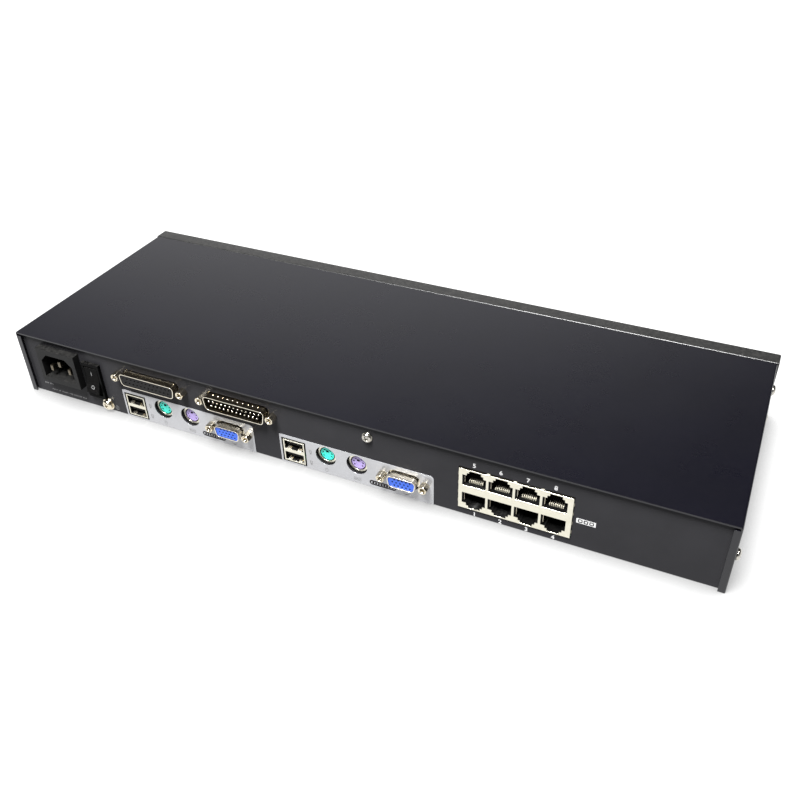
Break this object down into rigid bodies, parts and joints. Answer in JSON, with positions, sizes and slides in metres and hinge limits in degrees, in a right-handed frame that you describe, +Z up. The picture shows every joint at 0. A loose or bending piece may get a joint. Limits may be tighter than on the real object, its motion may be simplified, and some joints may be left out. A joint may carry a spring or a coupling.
{
  "type": "kvm switch",
  "caption": "Rack-height steel case with mains inlet, rocker switch, chain, console and computer ports behind and sprung pushbuttons in front.",
  "frame": {"origin": "bottom centre of the bounding box, on the surface that the case stands on", "axes": "+X to the right seen from the front, along the length; +Y towards the rear connector face; +Z up"},
  "size_m": [0.4402, 0.1592, 0.0438],
  "materials": {
    "case_paint": "fine matt black powder coat",
    "cover_paint": "fine matt black powder coat",
    "front_plastic": "matt black moulding",
    "label_silver": "silver printed label",
    "black_plastic": "moulded black",
    "gloss_black": "glossy black",
    "nickel": "nickel plated",
    "zinc": "zinc plated steel",
    "brass_nickel": "plated brass",
    "gold": "gold flash",
    "socket_blue": "blue insulator",
    "socket_green": "green insulator",
    "socket_purple": "purple insulator",
    "board_green": "solder mask",
    "board_tan": "paper laminate",
    "ferrite": "ferrite",
    "coil_tape": "yellow winding tape",
    "capacitor_sleeve": "shrink sleeve",
    "heatsink_alu": "extruded",
    "window_smoke": "smoked red window",
    "lens_green": "milky light guide",
    "button_grey": "grey keycap"
  },
  "bodies": {
    "case": {"chassis_base": "case_paint", "top_cover": "cover_paint", "front_panel": "front_plastic", "console_plate_a": "label_silver", "console_plate_b": "label_silver", "inlet_body": "black_plastic", "inlet_blades": "nickel", "switch_housing": "black_plastic", "ground_screw": "brass_nickel", "chain_socket_shell": "nickel", "chain_socket_insert": "black_plastic", "chain_socket_contacts": "gold", "chain_plug_shell": "nickel", "chain_plug_insert": "black_plastic", "chain_plug_pins": "gold", "video_shell_a": "nickel", "video_insert_a": "socket_blue", "video_shell_b": "nickel", "video_insert_b": "socket_blue", "jackscrews": "nickel", "usb_shell_a": "nickel", "usb_core_a": "black_plastic", "usb_shell_b": "nickel", "usb_core_b": "black_plastic", "mouse_socket_a": "socket_green", "mouse_socket_b": "socket_green", "keyboard_socket_a": "socket_purple", "keyboard_socket_b": "socket_purple", "din_shields": "nickel", "port_shield": "nickel", "port_housing": "black_plastic", "port_contacts": "gold", "main_board": "board_green", "chain_board": "board_green", "psu_board": "board_tan", "transformer_core": "ferrite", "transformer_coil": "coil_tape", "psu_capacitors": "capacitor_sleeve", "psu_heatsink": "heatsink_alu", "switch_chips": "black_plastic", "standoffs": "brass_nickel", "board_screws": "zinc", "cover_screws": "zinc", "front_screws": "zinc", "front_board": "board_green", "button_switches": "black_plastic", "station_display": "gloss_black", "display_window": "window_smoke", "indicator_lenses": "lens_green"},
    "switch_rocker": {"switch_rocker": "gloss_black"},
    "reset_button": {"reset_button": "black_plastic"},
    "port_button_1": {"port_button_1": "button_grey"},
    "port_button_2": {"port_button_2": "button_grey"},
    "port_button_3": {"port_button_3": "button_grey"},
    "port_button_4": {"port_button_4": "button_grey"},
    "port_button_5": {"port_button_5": "button_grey"},
    "port_button_6": {"port_button_6": "button_grey"},
    "port_button_7": {"port_button_7": "button_grey"},
    "port_button_8": {"port_button_8": "button_grey"}
  },
  "joints": [
    {"name": "power_rock", "type": "hinge", "parent": "case", "child": "switch_rocker", "pos_m": [0.16175, 0.07265, 0.0216], "axis": [1, 0, 0], "range_deg": [-18, 0]},
    {"name": "reset_press", "type": "slide", "parent": "case", "child": "reset_button", "axis": [0, 1, 0], "range_m": [0, 0.0007], "stiffness_N_per_m": 500, "springref_m": -0.0008},
    {"name": "port_press_1", "type": "slide", "parent": "case", "child": "port_button_1", "axis": [0, 1, 0], "range_m": [0, 0.001], "stiffness_N_per_m": 600, "springref_m": -0.0008},
    {"name": "port_press_2", "type": "slide", "parent": "case", "child": "port_button_2", "axis": [0, 1, 0], "range_m": [0, 0.001], "stiffness_N_per_m": 600, "springref_m": -0.0008},
    {"name": "port_press_3", "type": "slide", "parent": "case", "child": "port_button_3", "axis": [0, 1, 0], "range_m": [0, 0.001], "stiffness_N_per_m": 600, "springref_m": -0.0008},
    {"name": "port_press_4", "type": "slide", "parent": "case", "child": "port_button_4", "axis": [0, 1, 0], "range_m": [0, 0.001], "stiffness_N_per_m": 600, "springref_m": -0.0008},
    {"name": "port_press_5", "type": "slide", "parent": "case", "child": "port_button_5", "axis": [0, 1, 0], "range_m": [0, 0.001], "stiffness_N_per_m": 600, "springref_m": -0.0008},
    {"name": "port_press_6", "type": "slide", "parent": "case", "child": "port_button_6", "axis": [0, 1, 0], "range_m": [0, 0.001], "stiffness_N_per_m": 600, "springref_m": -0.0008},
    {"name": "port_press_7", "type": "slide", "parent": "case", "child": "port_button_7", "axis": [0, 1, 0], "range_m": [0, 0.001], "stiffness_N_per_m": 600, "springref_m": -0.0008},
    {"name": "port_press_8", "type": "slide", "parent": "case", "child": "port_button_8", "axis": [0, 1, 0], "range_m": [0, 0.001], "stiffness_N_per_m": 600, "springref_m": -0.0008}
  ]
}
